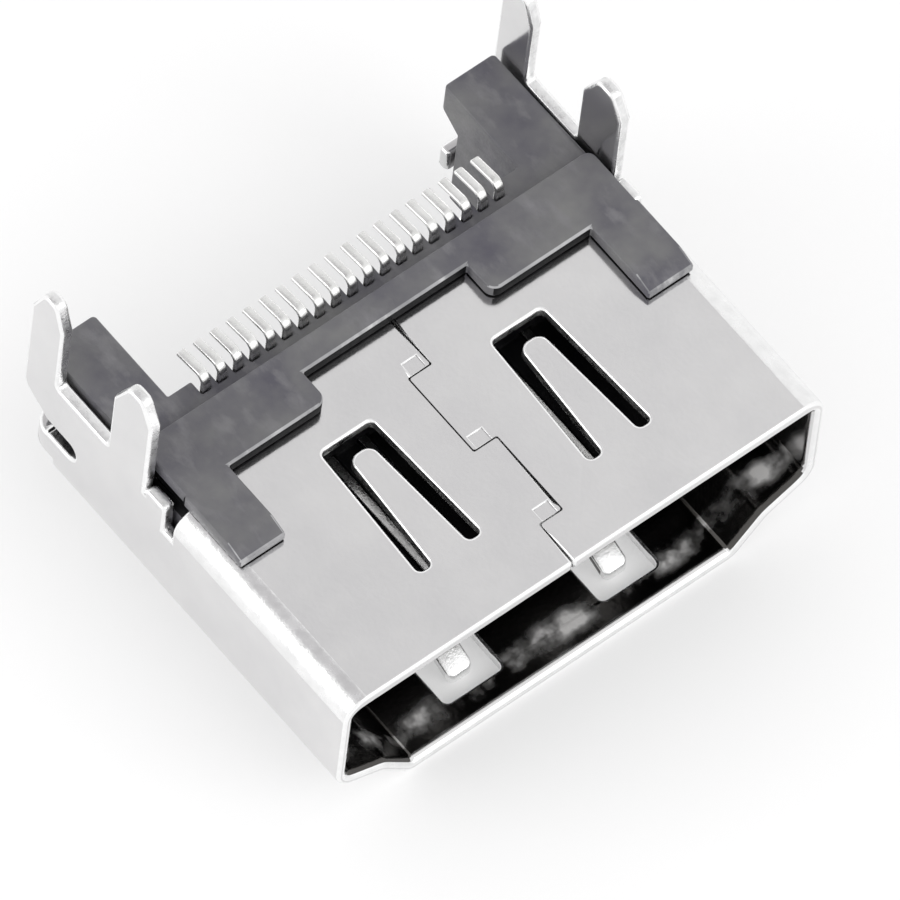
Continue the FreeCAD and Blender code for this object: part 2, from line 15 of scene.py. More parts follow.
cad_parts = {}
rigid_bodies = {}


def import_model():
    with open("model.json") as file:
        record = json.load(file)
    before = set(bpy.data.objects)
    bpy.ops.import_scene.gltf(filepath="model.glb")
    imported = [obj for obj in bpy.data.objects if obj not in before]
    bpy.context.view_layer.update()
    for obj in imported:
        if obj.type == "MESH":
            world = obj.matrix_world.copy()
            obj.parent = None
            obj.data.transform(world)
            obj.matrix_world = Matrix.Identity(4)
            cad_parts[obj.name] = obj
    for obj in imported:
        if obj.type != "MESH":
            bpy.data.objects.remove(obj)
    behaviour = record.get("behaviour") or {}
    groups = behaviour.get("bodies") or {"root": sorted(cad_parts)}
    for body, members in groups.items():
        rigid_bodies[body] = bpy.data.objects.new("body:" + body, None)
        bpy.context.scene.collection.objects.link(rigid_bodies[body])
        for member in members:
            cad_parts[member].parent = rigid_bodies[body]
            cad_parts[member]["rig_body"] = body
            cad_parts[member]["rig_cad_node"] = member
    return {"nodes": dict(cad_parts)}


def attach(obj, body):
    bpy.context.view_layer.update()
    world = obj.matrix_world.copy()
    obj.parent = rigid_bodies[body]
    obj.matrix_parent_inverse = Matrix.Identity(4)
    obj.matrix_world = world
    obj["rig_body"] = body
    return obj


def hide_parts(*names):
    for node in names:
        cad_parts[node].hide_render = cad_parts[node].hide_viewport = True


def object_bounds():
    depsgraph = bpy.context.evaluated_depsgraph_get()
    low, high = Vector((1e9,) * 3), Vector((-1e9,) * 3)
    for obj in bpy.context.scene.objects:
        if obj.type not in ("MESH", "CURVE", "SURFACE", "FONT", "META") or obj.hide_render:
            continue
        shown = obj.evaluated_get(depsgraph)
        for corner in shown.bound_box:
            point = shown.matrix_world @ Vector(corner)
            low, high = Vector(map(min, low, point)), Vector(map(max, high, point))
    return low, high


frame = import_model()
solid_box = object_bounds()
MM = 0.001
print("solid box in mm:", [[round(edge / MM, 2) for edge in corner] for corner in solid_box])

# %% [markdown]
# ## Where the camera stands
#
# The photograph was taken from far off with a long lens, so lines that are parallel on the part
# stay parallel in the picture. A flat, orthographic camera would come close. A camera a metre away
# with a long lens also keeps the slight narrowing towards the rear. It is set by its azimuth, its
# elevation and the roll about its own line of sight, and it looks at a point inside the socket.

# %% Camera
CAMERA_AZIMUTH = math.radians(-45.4)
CAMERA_ELEVATION = math.radians(59.2)
CAMERA_ROLL = math.radians(7.7)
CAMERA_DISTANCE = 1000 * MM
NEAREST_SHOWN = 100 * MM
SENSOR_WIDTH = 36.0
VIEW_WIDTH = 21.48 * MM
AIM = Vector((0.0, 0.0, 4.2)) * MM
AIM_RIGHT = 0.627 * MM
AIM_UP = -1.258 * MM

turn = Matrix.Rotation(CAMERA_AZIMUTH, 3, "Z")
tilt = Matrix.Rotation(math.radians(90) - CAMERA_ELEVATION, 3, "X")
roll = Matrix.Rotation(CAMERA_ROLL, 3, "Z")
facing = turn @ tilt @ roll
aim = AIM + facing @ Vector((AIM_RIGHT, AIM_UP, 0.0))

bpy.ops.object.camera_add(location=aim + facing @ Vector((0.0, 0.0, CAMERA_DISTANCE)))
camera = bpy.context.object
camera.name = "photo_camera"
camera.rotation_euler = facing.to_euler()
camera.data.sensor_fit = "HORIZONTAL"
camera.data.sensor_width = SENSOR_WIDTH
camera.data.lens = SENSOR_WIDTH * CAMERA_DISTANCE / VIEW_WIDTH
camera.data.clip_start = NEAREST_SHOWN
bpy.context.scene.camera = camera
print("lens in mm:", round(camera.data.lens, 1))

# %% [markdown]
# ## Surface effects that the finishes share
#
# Rolled sheet, moulded plastic and tin all show broad cloudy patches, and a fine grain that breaks
# up their gloss. The plastic has soft scuffs too. Pictures could carry these effects, but noise on
# the object's own coordinates has no seams and needs no unwrapping. Each effect is a node group,
# built once. It turns metres into millimetres, so that its scale counts patches per millimetre.

# %% A node group from a list of sockets
def new_group(name, inputs, outputs):
    """An empty shader node group, its input node and its output node."""
    tree = bpy.data.node_groups.new(name, "ShaderNodeTree")
    for title, kind, value in inputs:
        socket = tree.interface.new_socket(title, in_out="INPUT", socket_type=kind)
        if value is not None:
            socket.default_value = value
    for title, kind in outputs:
        tree.interface.new_socket(title, in_out="OUTPUT", socket_type=kind)
    return tree, tree.nodes.new("NodeGroupInput"), tree.nodes.new("NodeGroupOutput")


# %% Nodes that the effects are made of
NOISE_ROUGHNESS = 0.6


def add_node(tree, kind, **settings):
    made = tree.nodes.new(kind)
    for name, setting in settings.items():
        setattr(made, name, setting)
    return made


def in_millimetres(tree, vector):
    scaled = add_node(tree, "ShaderNodeVectorMath", operation="SCALE")
    scaled.inputs["Scale"].default_value = 1 / MM
    tree.links.new(vector, scaled.inputs[0])
    return scaled.outputs["Vector"]


def add_noise(tree, vector, scale, detail):
    """Noise of a given number of patches per millimetre, read at a vector in millimetres."""
    noise = add_node(tree, "ShaderNodeTexNoise")
    noise.inputs["Detail"].default_value = detail
    noise.inputs["Roughness"].default_value = NOISE_ROUGHNESS
    tree.links.new(vector, noise.inputs["Vector"])
    tree.links.new(scale, noise.inputs["Scale"])
    return noise.outputs["Fac"]


def stretch(tree, value, low, high):
    """The value spread out, so that low becomes 0 and high becomes 1."""
    spread = add_node(tree, "ShaderNodeMapRange")
    spread.inputs["From Min"].default_value = low
    spread.inputs["From Max"].default_value = high
    tree.links.new(value, spread.inputs["Value"])
    return spread.outputs["Result"]


# %% [markdown]
# Noise keeps near the middle between 0 and 1, so each effect stretches a part of its range. Clouds
# are broad, with some detail at their borders. Grain is simpler and much finer. Scuffs are noise
# squeezed along X, and only the highest part of it shows.

# %% Clouds
CLOUD_DETAIL = 4.0
CLOUD_RANGE = (0.32, 0.68)

clouds, clouds_in, clouds_out = new_group(
    "clouds",
    [("Vector", "NodeSocketVector", None), ("Scale", "NodeSocketFloat", 0.8)],
    [("Mask", "NodeSocketFloat")],
)
place = in_millimetres(clouds, clouds_in.outputs["Vector"])
patches = add_noise(clouds, place, clouds_in.outputs["Scale"], CLOUD_DETAIL)
clouds.links.new(stretch(clouds, patches, *CLOUD_RANGE), clouds_out.inputs["Mask"])

# %% Grain
GRAIN_DETAIL = 2.0
GRAIN_RANGE = (0.3, 0.7)

grain, grain_in, grain_out = new_group(
    "grain",
    [("Vector", "NodeSocketVector", None), ("Scale", "NodeSocketFloat", 12.0)],
    [("Mask", "NodeSocketFloat")],
)
place = in_millimetres(grain, grain_in.outputs["Vector"])
grains = add_noise(grain, place, grain_in.outputs["Scale"], GRAIN_DETAIL)
grain.links.new(stretch(grain, grains, *GRAIN_RANGE), grain_out.inputs["Mask"])

# %% Scuffs
SCUFF_DETAIL = 5.0
SCUFF_RANGE = (0.52, 0.76)

scuffs, scuffs_in, scuffs_out = new_group(
    "scuffs",
    [("Vector", "NodeSocketVector", None),
     ("Scale", "NodeSocketFloat", 2.0),
     ("Stretch", "NodeSocketFloat", 5.0)],
    [("Mask", "NodeSocketFloat")],
)
place = in_millimetres(scuffs, scuffs_in.outputs["Vector"])
lengths = add_node(scuffs, "ShaderNodeCombineXYZ")
lengths.inputs["Y"].default_value = 1.0
lengths.inputs["Z"].default_value = 1.0
scuffs.links.new(scuffs_in.outputs["Stretch"], lengths.inputs["X"])
squeezed = add_node(scuffs, "ShaderNodeVectorMath", operation="MULTIPLY")
scuffs.links.new(place, squeezed.inputs[0])
scuffs.links.new(lengths.outputs["Vector"], squeezed.inputs[1])
streaks = add_noise(scuffs, squeezed.outputs["Vector"], scuffs_in.outputs["Scale"], SCUFF_DETAIL)
scuffs.links.new(stretch(scuffs, streaks, *SCUFF_RANGE), scuffs_out.inputs["Mask"])
print("node groups:", [group.name for group in bpy.data.node_groups])

# %% [markdown]
# ## How every finish starts
#
# Each finish is one Principled shader. Plating is metal and plastic isn't, and that is the only
# value they start from. Masks from the node groups then turn into its colour, its roughness and
# its relief, so that the same few steps serve every finish.

# %% A finish, before its patterns
def new_finish(name, metallic):
    """A material, its node tree, its shader and the object's own coordinates."""
    material = bpy.data.materials.new(name)
    material.use_nodes = True
    tree = material.node_tree
    shader = tree.nodes["Principled BSDF"]
    shader.inputs["Metallic"].default_value = metallic
    coordinates = add_node(tree, "ShaderNodeTexCoord")
    return material, tree, shader, coordinates.outputs["Object"]


def add_pattern(tree, group, vector, **values):
    pattern = add_node(tree, "ShaderNodeGroup", node_tree=group)
    tree.links.new(vector, pattern.inputs["Vector"])
    for title, value in values.items():
        pattern.inputs[title].default_value = value
    return pattern.outputs["Mask"]


# %% From a mask to colour, roughness and relief
def mix_colors(tree, mask, low_color, high_color):
    """The low colour where the mask is 0 and the high one where it is 1. Either may be a socket."""
    mix = add_node(tree, "ShaderNodeMix", data_type="RGBA")
    tree.links.new(mask, mix.inputs["Factor"])
    for socket, color in ((mix.inputs["A"], low_color), (mix.inputs["B"], high_color)):
        if isinstance(color, bpy.types.NodeSocket):
            tree.links.new(color, socket)
        else:
            socket.default_value = (*color, 1.0)
    return mix.outputs["Result"]


def spread_roughness(tree, shader, mask, low, high):
    spread = add_node(tree, "ShaderNodeMapRange")
    spread.inputs["To Min"].default_value = low
    spread.inputs["To Max"].default_value = high
    tree.links.new(mask, spread.inputs["Value"])
    tree.links.new(spread.outputs["Result"], shader.inputs["Roughness"])


def raise_surface(tree, shader, mask, height):
    bump = add_node(tree, "ShaderNodeBump")
    bump.inputs["Distance"].default_value = height
    tree.links.new(mask, bump.inputs["Height"])
    tree.links.new(bump.outputs["Normal"], shader.inputs["Normal"])


# %% [markdown]
# ## Nickel plating
#
# The shell is bright nickel over rolled steel. Its outer faces are almost mirrors, with faint
# clouds from handling. Along the two bends the stretched sheet has a coarser skin, and the tool's
# cut faces are rougher. The bends and the rounded edges get a lighter colour, a painted highlight,
# and the small openings at the rear a dark one, a painted shade. One material could tell them apart
# with masks. Five small ones are easier to read, and since only their values differ, one function
# makes them all.

# %% Plating that differs in its values
def new_plating(name, dull, bright, smooth, rough, cloud_scale, grain_scale, grain_height):
    """Metal whose clouds run from dull and smooth to bright and rough."""
    material, tree, shader, place = new_finish(name, metallic=1.0)
    cloud = add_pattern(tree, clouds, place, Scale=cloud_scale)
    fine = add_pattern(tree, grain, place, Scale=grain_scale)
    tree.links.new(mix_colors(tree, cloud, dull, bright), shader.inputs["Base Color"])
    spread_roughness(tree, shader, cloud, smooth, rough)
    raise_surface(tree, shader, fine, grain_height)
    return material


# %% Nickel on the faces, and lighter nickel as painted highlight on the bends and rounded edges
nickel_face = new_plating(
    "nickel_face", dull=(0.72, 0.715, 0.72), bright=(0.775, 0.77, 0.77),
    smooth=0.11, rough=0.17, cloud_scale=0.5, grain_scale=9.0, grain_height=0.0004 * MM)
# The bends' lighter colour is a painted highlight; their coarser skin is the roughness.
nickel_bend_highlight = new_plating(
    "nickel_bend_highlight", dull=(0.82, 0.82, 0.82), bright=(0.92, 0.92, 0.92),
    smooth=0.16, rough=0.30, cloud_scale=2.0, grain_scale=11.0, grain_height=0.003 * MM)
# The rounds' lighter colour is a painted highlight.
nickel_edge_highlight = new_plating(
    "nickel_edge_highlight", dull=(0.90, 0.90, 0.90), bright=(0.97, 0.97, 0.97),
    smooth=0.18, rough=0.30, cloud_scale=3.0, grain_scale=14.0, grain_height=0.0015 * MM)

# %% Nickel on the cut faces, and dark nickel as painted shade in the small openings
nickel_cut = new_plating(
    "nickel_cut", dull=(0.70, 0.70, 0.70), bright=(0.90, 0.90, 0.90),
    smooth=0.22, rough=0.38, cloud_scale=4.0, grain_scale=18.0, grain_height=0.003 * MM)
# The small openings' dark colour is painted shade.
nickel_slit_painted_shade = new_plating(
    "nickel_slit_painted_shade", dull=(0.08, 0.08, 0.08), bright=(0.22, 0.22, 0.22),
    smooth=0.22, rough=0.38, cloud_scale=4.0, grain_scale=18.0, grain_height=0.003 * MM)
print("finishes so far:", [material.name for material in bpy.data.materials])

# %% [markdown]
# ## Plating inside the mouth
#
# In the mouth the plating is darkened, a painted shade, but for a band just behind the lip, which
# is lightened in patches, a painted highlight. Behind the core it keeps its plain colour. Each of
# these zones is a distance along the socket, so it is read from the Y coordinate and fades by a
# smooth step. The clouds then break the band into patches.

# %% A band across the socket
def add_band(tree, vector, center, reach):
    """1 at a distance along Y, in millimetres, fading to 0 at the reach on both sides."""
    parts = add_node(tree, "ShaderNodeSeparateXYZ")
    tree.links.new(in_millimetres(tree, vector), parts.inputs["Vector"])
    apart = add_node(tree, "ShaderNodeMath", operation="SUBTRACT")
    apart.inputs[1].default_value = center
    tree.links.new(parts.outputs["Y"], apart.inputs[0])
    distance = add_node(tree, "ShaderNodeMath", operation="ABSOLUTE")
    tree.links.new(apart.outputs["Value"], distance.inputs[0])
    band = add_node(tree, "ShaderNodeMapRange", interpolation_type="SMOOTHSTEP")
    band.inputs["From Min"].default_value = reach
    band.inputs["From Max"].default_value = 0.0
    tree.links.new(distance.outputs["Value"], band.inputs["Value"])
    return band.outputs["Result"]


# %% Plating with painted shade and patches of painted highlight
MOUTH = solid_box[0][1] / MM
BAND_BEHIND_LIP = 0.8
BAND_REACH = 0.75
HIGHLIGHT_RANGE = (0.24, 0.78)
SHADE_REACH = 11.0
SHADE_RANGE = (0.15, 0.45)


def new_plating_with_painted_light(name, unshaded, dark, painted_highlight, smooth, rough, cloud_scale, grain_scale,
                       grain_height):
    """Plating with painted shade in the mouth, its plain colour behind it and painted highlight
    patches near the lip.
    """
    material, tree, shader, place = new_finish(name, metallic=1.0)
    cloud = add_pattern(tree, clouds, place, Scale=cloud_scale)
    fine = add_pattern(tree, grain, place, Scale=grain_scale)
    band = add_band(tree, place, MOUTH + BAND_BEHIND_LIP, BAND_REACH)
    broken_band = add_node(tree, "ShaderNodeMath", operation="MULTIPLY")
    tree.links.new(band, broken_band.inputs[0])
    tree.links.new(cloud, broken_band.inputs[1])
    patches = stretch(tree, broken_band.outputs["Value"], *HIGHLIGHT_RANGE)
    painted_shade_mask = stretch(tree, add_band(tree, place, MOUTH, SHADE_REACH), *SHADE_RANGE)
    shaded_plating = mix_colors(tree, painted_shade_mask, unshaded, dark)
    tree.links.new(mix_colors(tree, patches, shaded_plating, painted_highlight), shader.inputs["Base Color"])
    spread_roughness(tree, shader, patches, smooth, rough)
    raise_surface(tree, shader, fine, grain_height)
    return material


# The dark colour is painted shade in the mouth, and the light one painted highlight in the patches
# behind the lip.
nickel_inside_painted_light = new_plating_with_painted_light(
    "nickel_inside_painted_light", unshaded=(0.70, 0.70, 0.70), dark=(0.09, 0.086, 0.082),
    painted_highlight=(0.96, 0.95, 0.94), smooth=0.18, rough=0.70, cloud_scale=0.7, grain_scale=8.0,
    grain_height=0.002 * MM)
print("the rubbed band lies", BAND_BEHIND_LIP, "mm behind the mouth at", round(MOUTH, 3))

# %% [markdown]
# ## Moulded plastic
#
# The housing is a dark, fibre-filled plastic. It isn't one grey: broad purplish clouds cross it,
# and soft scuffs lie on the blocks. Along the top front edges lies a thin light line, partly mould
# flash and partly painted highlight. The faces in the core and at the front of the blocks are
# nearly black, a painted shade, and matt. The clouds mix two greys, the scuffs lighten them, and a
# fine grain breaks up the gloss. The light line and the dark faces are the same plastic with other
# values.

# %% Plastic that differs in its values
PLASTIC_CLOUD_SCALE = 0.42
PLASTIC_SCUFF_SCALE = 0.9
PLASTIC_SCUFF_STRETCH = 2.0
PLASTIC_GRAIN_SCALE = 16.0
PLASTIC_GRAIN_HEIGHT = 0.002 * MM


def new_plastic(name, dark, light, scuffed, smooth, rough, gloss):
    """Clouded plastic with lighter scuffs. The gloss is its specular level."""
    material, tree, shader, place = new_finish(name, metallic=0.0)
    shader.inputs["Specular IOR Level"].default_value = gloss
    cloud = add_pattern(tree, clouds, place, Scale=PLASTIC_CLOUD_SCALE)
    scuff = add_pattern(tree, scuffs, place,
                        Scale=PLASTIC_SCUFF_SCALE, Stretch=PLASTIC_SCUFF_STRETCH)
    fine = add_pattern(tree, grain, place, Scale=PLASTIC_GRAIN_SCALE)
    clouded = mix_colors(tree, cloud, dark, light)
    tree.links.new(mix_colors(tree, scuff, clouded, scuffed), shader.inputs["Base Color"])
    spread_roughness(tree, shader, fine, smooth, rough)
    raise_surface(tree, shader, fine, PLASTIC_GRAIN_HEIGHT)
    return material


# %% Finishes of the housing
plastic_face = new_plastic(
    "plastic_face", dark=(0.078, 0.075, 0.094), light=(0.172, 0.172, 0.170),
    scuffed=(0.185, 0.182, 0.192), smooth=0.38, rough=0.55, gloss=0.5)
# The light colour is partly mould flash and partly painted highlight on the top front rounds, and
# painted highlight on the arm fronts.
plastic_flash_and_highlight = new_plastic(
    "plastic_flash_and_highlight", dark=(0.16, 0.16, 0.17), light=(0.48, 0.48, 0.49),
    scuffed=(0.64, 0.64, 0.64), smooth=0.30, rough=0.50, gloss=0.5)
# Near-black plastic is painted shade, laid on the core and the block fronts.
plastic_painted_shade = new_plastic(
    "plastic_painted_shade", dark=(0.004, 0.004, 0.005), light=(0.012, 0.012, 0.013),
    scuffed=(0.020, 0.020, 0.021), smooth=0.50, rough=0.65, gloss=0.08)
print("plastics:", plastic_face.name, plastic_flash_and_highlight.name, plastic_painted_shade.name)

# %% [markdown]
# ## Tin
#
# The contacts are stamped from copper alloy and tinned. Tin is softer and greyer than nickel.
# The rounds along the strip's corners get a lighter tin, a painted highlight. It is a plating like
# the nickel, so the same function makes it.

# %% Finishes of the contacts
tin_face = new_plating(
    "tin_face", dull=(0.70, 0.70, 0.69), bright=(0.82, 0.82, 0.81),
    smooth=0.20, rough=0.34, cloud_scale=2.5, grain_scale=15.0, grain_height=0.002 * MM)
# The rounds' lighter tin is a painted highlight.
tin_edge_highlight = new_plating(
    "tin_edge_highlight", dull=(0.86, 0.86, 0.85), bright=(0.95, 0.95, 0.94),
    smooth=0.18, rough=0.28, cloud_scale=4.0, grain_scale=18.0, grain_height=0.002 * MM)
print("tin finishes:", tin_face.name, tin_edge_highlight.name)

# %% [markdown]
# ## A copy of a solid that can be shaped
#
# The shell, the housing and the contacts come as solids, and a loaded solid is loose triangles.
# They could be modelled again, but a copy keeps their shape exactly. It is merged, and triangles
# that lie in one plane are dissolved into whole faces, so that an edge of the mesh is an edge of
# the part. The copy then stands for the solid, which stays hidden behind it.

# %% Copy a solid
MERGE_DISTANCE = 0.001 * MM
PLANE_ANGLE = math.radians(0.5)


def copy_solid(node_name, piece_name):
    """A merged copy of a solid, with whole faces, standing in for it."""
    bpy.ops.object.select_all(action="DESELECT")
    source = frame["nodes"][node_name]
    piece = source.copy()
    piece.data = source.data.copy()
    piece.parent = None
    piece.name = piece_name
    piece.data.name = piece_name
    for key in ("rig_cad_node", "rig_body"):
        if key in piece:
            del piece[key]
    bpy.context.scene.collection.objects.link(piece)
    piece.select_set(True)
    bpy.context.view_layer.objects.active = piece

    bpy.ops.object.mode_set(mode="EDIT")
    bpy.ops.mesh.select_all(action="SELECT")
    bpy.ops.mesh.remove_doubles(threshold=MERGE_DISTANCE)
    bpy.ops.mesh.dissolve_limited(angle_limit=PLANE_ANGLE)
    bpy.ops.object.mode_set(mode="OBJECT")
    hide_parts(node_name)
    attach(piece, "root")
    return piece


# %% The shell, the housing and 19 contact strips
CONTACTS = 19

shell = copy_solid("shell", "shell_sheet")
housing = copy_solid("housing", "housing_moulding")
strips = []
for number in range(1, CONTACTS + 1):
    strips.append(copy_solid(f"contact_{number:02d}", f"strip_{number:02d}"))
for piece in (shell, housing, strips[0]):
    print(piece.name, len(piece.data.vertices), "vertices", len(piece.data.polygons), "faces")

# %% [markdown]
# ## Soft edges
#
# A sheared or moulded edge is never perfectly sharp: it has a small round that catches the light,
# and without it metal looks like a drawing. Each sharp edge gets a bevel weight, its share of the
# widest round. A smooth run of edges keeps one weight, because where the width changes halfway
# the new corner lands far off. The strips of faces that the Bevel modifier makes get a material
# slot of their own, and Weighted Normal keeps the flat faces flat.

# %% Lay the finishes on a piece
def dress(piece, finishes):
    """Give a piece its finishes, one slot each. The first is its faces', the second its rounds'."""
    piece.data.materials.clear()
    for finish in finishes:
        piece.data.materials.append(finish)


# %% Weigh the edges
def full_round(place, length):
    return 1.0


def weigh_edges(piece, sharp_angle, share_at=full_round):
    """Give each edge sharper than the angle its share of the widest round. Returns how many.

    The share depends on the middle of the edge and on its length, both in millimetres.
    """
    mesh = piece.data
    normals_at = {}
    for face in mesh.polygons:
        for key in face.edge_keys:
            normals_at.setdefault(key, []).append(face.normal)
    weights = mesh.attributes.new("bevel_weight_edge", "FLOAT", "EDGE")
    count = 0
    for edge in mesh.edges:
        normals = normals_at.get(edge.key, [])
        if len(normals) == 2 and normals[0].angle(normals[1], 0.0) > sharp_angle:
            start, end = [mesh.vertices[number].co / MM for number in edge.vertices]
            weights.data[edge.index].value = share_at((start + end) / 2, (end - start).length)
            count += 1
    return count


# %% Round the edges
ROUND_SLOT = 1
SMOOTH_ANGLE = math.radians(40)


def round_edges(piece, widest_round, segments):
    bpy.ops.object.select_all(action="DESELECT")
    piece.select_set(True)
    bpy.context.view_layer.objects.active = piece
    bevel = piece.modifiers.new("edge_round", "BEVEL")
    bevel.limit_method = "WEIGHT"
    bevel.width = widest_round
    bevel.segments = segments
    bevel.material = ROUND_SLOT
    bevel.use_clamp_overlap = False
    bevel.loop_slide = False
    bpy.ops.object.modifier_apply(modifier=bevel.name)
    bpy.ops.object.shade_smooth_by_angle(angle=SMOOTH_ANGLE)
    level = piece.modifiers.new("flat_faces", "WEIGHTED_NORMAL")
    level.keep_sharp = True
    bpy.ops.object.modifier_apply(modifier=level.name)


# %% [markdown]
# The shell's sheared edges all have the same round. Only the stepped seam on the wide face, where
# the two ends of the sheet meet, has corners too small for it. Along its top, the straight runs
# get nine tenths and the dents beside it a quarter. The corners and the lower edges stay sharp.

# %% Round the shell
WIDE_FACE = 5.25
SHEET = 0.35
SLACK = 0.02
SHEET_ROUND = 0.08 * MM
SHEET_SEGMENTS = 3
SHARP_ANGLE = math.radians(45)
SEAM_REACH = 0.75
SEAM_MARGIN = 0.05
SEAM_SHARE = 0.9
SEAM_RUN = 0.5
DENT_SHARE = 0.25
CORNER_LENGTH = 0.1
TOP_DEPTH = 0.03


def shell_round_at(place, length):
    in_wide_face = place.z > WIDE_FACE - SHEET - SEAM_MARGIN
    behind_lip = place.y > MOUTH + SLACK
    if not (in_wide_face and behind_lip and abs(place.x) < SEAM_REACH):
        return 1.0
    if length < CORNER_LENGTH or place.z < WIDE_FACE - TOP_DEPTH:
        return 0.0
    return SEAM_SHARE if length > SEAM_RUN else DENT_SHARE


dress(shell, [nickel_face, nickel_edge_highlight, nickel_cut, nickel_inside_painted_light, nickel_bend_highlight, nickel_slit_painted_shade])
print("shell edges rounded:", weigh_edges(shell, SHARP_ANGLE, shell_round_at))
round_edges(shell, SHEET_ROUND, SHEET_SEGMENTS)
print("shell faces:", len(shell.data.polygons))

# %% [markdown]
# The housing's edges are moulded, with a smaller round than the sheet. Under each arm it follows
# the bend of the shell so closely that a round has no room, and the edges there stay sharp.

# %% Round the housing
MOULDED_ROUND = 0.06 * MM
MOULDED_SEGMENTS = 3
BEND_CORNER = Vector((6.9, 3.2, 4.95))
BEND_REACH = 0.45


def housing_round_at(place, length):
    from_corner = Vector((abs(place.x), place.y, place.z)) - BEND_CORNER
    return 0.0 if from_corner.length < BEND_REACH else 1.0


dress(housing, [plastic_face, plastic_flash_and_highlight, plastic_painted_shade])
print("housing edges rounded:", weigh_edges(housing, SHARP_ANGLE, housing_round_at))
round_edges(housing, MOULDED_ROUND, MOULDED_SEGMENTS)
print("housing faces:", len(housing.data.polygons))

# %% [markdown]
# Each contact is a stamped strip with a small round along its corners. Its bends are runs of short
# flat faces that meet at small angles, so only the corners are sharp enough to be rounded.

# %% Round the contact strips
STRIP_ROUND = 0.035 * MM
STRIP_SEGMENTS = 2
STRIP_SHARP_ANGLE = math.radians(40)

for piece in strips:
    dress(piece, [tin_face, tin_edge_highlight])
    weigh_edges(piece, STRIP_SHARP_ANGLE)
    round_edges(piece, STRIP_ROUND, STRIP_SEGMENTS)
print("strip faces:", len(strips[0].data.polygons))

# %% [markdown]
# ## Where each finish goes on the shell
#
# The rounds have their finish already. The shell's other faces are plain outer ones, cut ones,
# inner ones, the two bends, the small openings of its wrap tabs, which get a painted shade, and the
# foot of the lip, which gets the rounds' painted highlight. They could be picked by hand in edit
# mode. Here a short test finds each kind by its place and by where it faces, so nothing has to be
# picked again when the solid changes a little. A face that runs through the sheet is a cut one, and
# a face that looks towards the middle of the opening is an inner one.

# %% Give a finish to the faces that pass a test
def set_finish(piece, finish, is_wanted, over=None):
    """Give the finish to the faces that pass the test. Returns how many.

    Where another finish is given as over, only the faces that have it are tested.
    """
    slots = piece.data.materials
    old_slot = slots.find(over.name) if over else None
    new_slot = slots.find(finish.name)
    count = 0
    for face in piece.data.polygons:
        if old_slot in (None, face.material_index) and is_wanted(face.center / MM, face.normal):
            face.material_index = new_slot
            count += 1
    return count


# %% Small openings of the wrap tabs, and the foot of the lip
HALF_OPENING = 7.0
TAB_START = 10.1
TAB_TOP = 4.2
TAB_WIDTH = 0.8
SIDEWAYS = 0.6
LIP_MARGIN = 0.1
FACING = 0.8


def is_slit(place, normal):
    behind_tab = place.y - MOUTH > TAB_START and place.z < TAB_TOP
    in_tab = abs(place.x) > HALF_OPENING - TAB_WIDTH
    return behind_tab and in_tab and abs(normal.x) < SIDEWAYS


def is_lip_foot(place, normal):
    on_lip = place.y - MOUTH < LIP_MARGIN and place.z < SHEET + LIP_MARGIN
    return on_lip and normal.y < -FACING


# The slit faces take the dark nickel, a painted shade.
print("slit faces:", set_finish(shell, nickel_slit_painted_shade, is_slit, over=nickel_face))
# The foot of the lip takes the rounds' light colour, a painted highlight.
print("lip foot faces:", set_finish(shell, nickel_edge_highlight, is_lip_foot, over=nickel_face))

# %% Cut faces
RELIEF_START = 6.6
WALL_FOOT = 2.1
BEND_WIDTH = 0.4
EDGEWISE = 0.3


def is_cut(place, normal):
    behind = place.y - MOUTH
    in_side_wall = abs(place.x) > HALF_OPENING and behind > RELIEF_START and place.z > WALL_FOOT
    in_wide_face = place.z > WIDE_FACE - SHEET and abs(place.x) < HALF_OPENING - BEND_WIDTH
    in_narrow_face = place.z < SHEET
    through_wall = in_side_wall and abs(normal.x) < EDGEWISE
    through_face = (in_wide_face or in_narrow_face) and abs(normal.z) < EDGEWISE
    return through_wall or (through_face and behind > LIP_MARGIN)


print("cut faces:", set_finish(shell, nickel_cut, is_cut, over=nickel_face))

# %% Inner faces and bends
MIDDLE_HEIGHT = 2.6
BEND_DROP = 0.8
SLANT = 0.05


def is_inside(place, normal):
    looks_in = normal.x * place.x < -SLACK or normal.z * (place.z - MIDDLE_HEIGHT) < -SLACK
    in_height = SHEET - SLACK < place.z < WIDE_FACE - SHEET + SLACK
    return looks_in and in_height and abs(place.x) < HALF_OPENING + SLACK


def is_bend(place, normal):
    return place.z > WIDE_FACE - BEND_DROP and normal.z > SLANT and abs(normal.x) > SLANT


# Inner faces take the plating with painted shade in the mouth and painted highlight patches.
print("inner faces:", set_finish(shell, nickel_inside_painted_light, is_inside, over=nickel_face))
print("bend faces:", set_finish(shell, nickel_bend_highlight, is_bend, over=nickel_face))

# %% [markdown]
# The tips of the narrow face's two spring fingers curl up into the mouth. All their faces, whatever
# they have by now, get the rounds' light colour, a painted highlight.

# %% Paint a highlight on the tips of the narrow face's spring fingers
TIP_SIDE = 2.5
TIP_HALF_WIDTH = 0.45
TIP_FRONT = 0.75
TIP_LENGTH = 1.0
TIP_TOP = 1.2


def is_finger_tip(place, normal):
    beside = abs(abs(place.x) - TIP_SIDE) < TIP_HALF_WIDTH
    behind = TIP_FRONT < place.y - MOUTH < TIP_FRONT + TIP_LENGTH
    return beside and behind and SLACK < place.z < TIP_TOP


print("finger tip faces:", set_finish(shell, nickel_edge_highlight, is_finger_tip))

# %% [markdown]
# ## Where each finish goes on the housing
#
# The light line stands only along the top front edges, so every other round gets the plain plastic
# back. The fronts of the two arms get the same light colour, a painted highlight. The core, deep
# inside the shell, and the fronts of the blocks get the near-black plastic, a painted shade. The
# arm fronts come first, so that the test for dark faces no longer finds them.

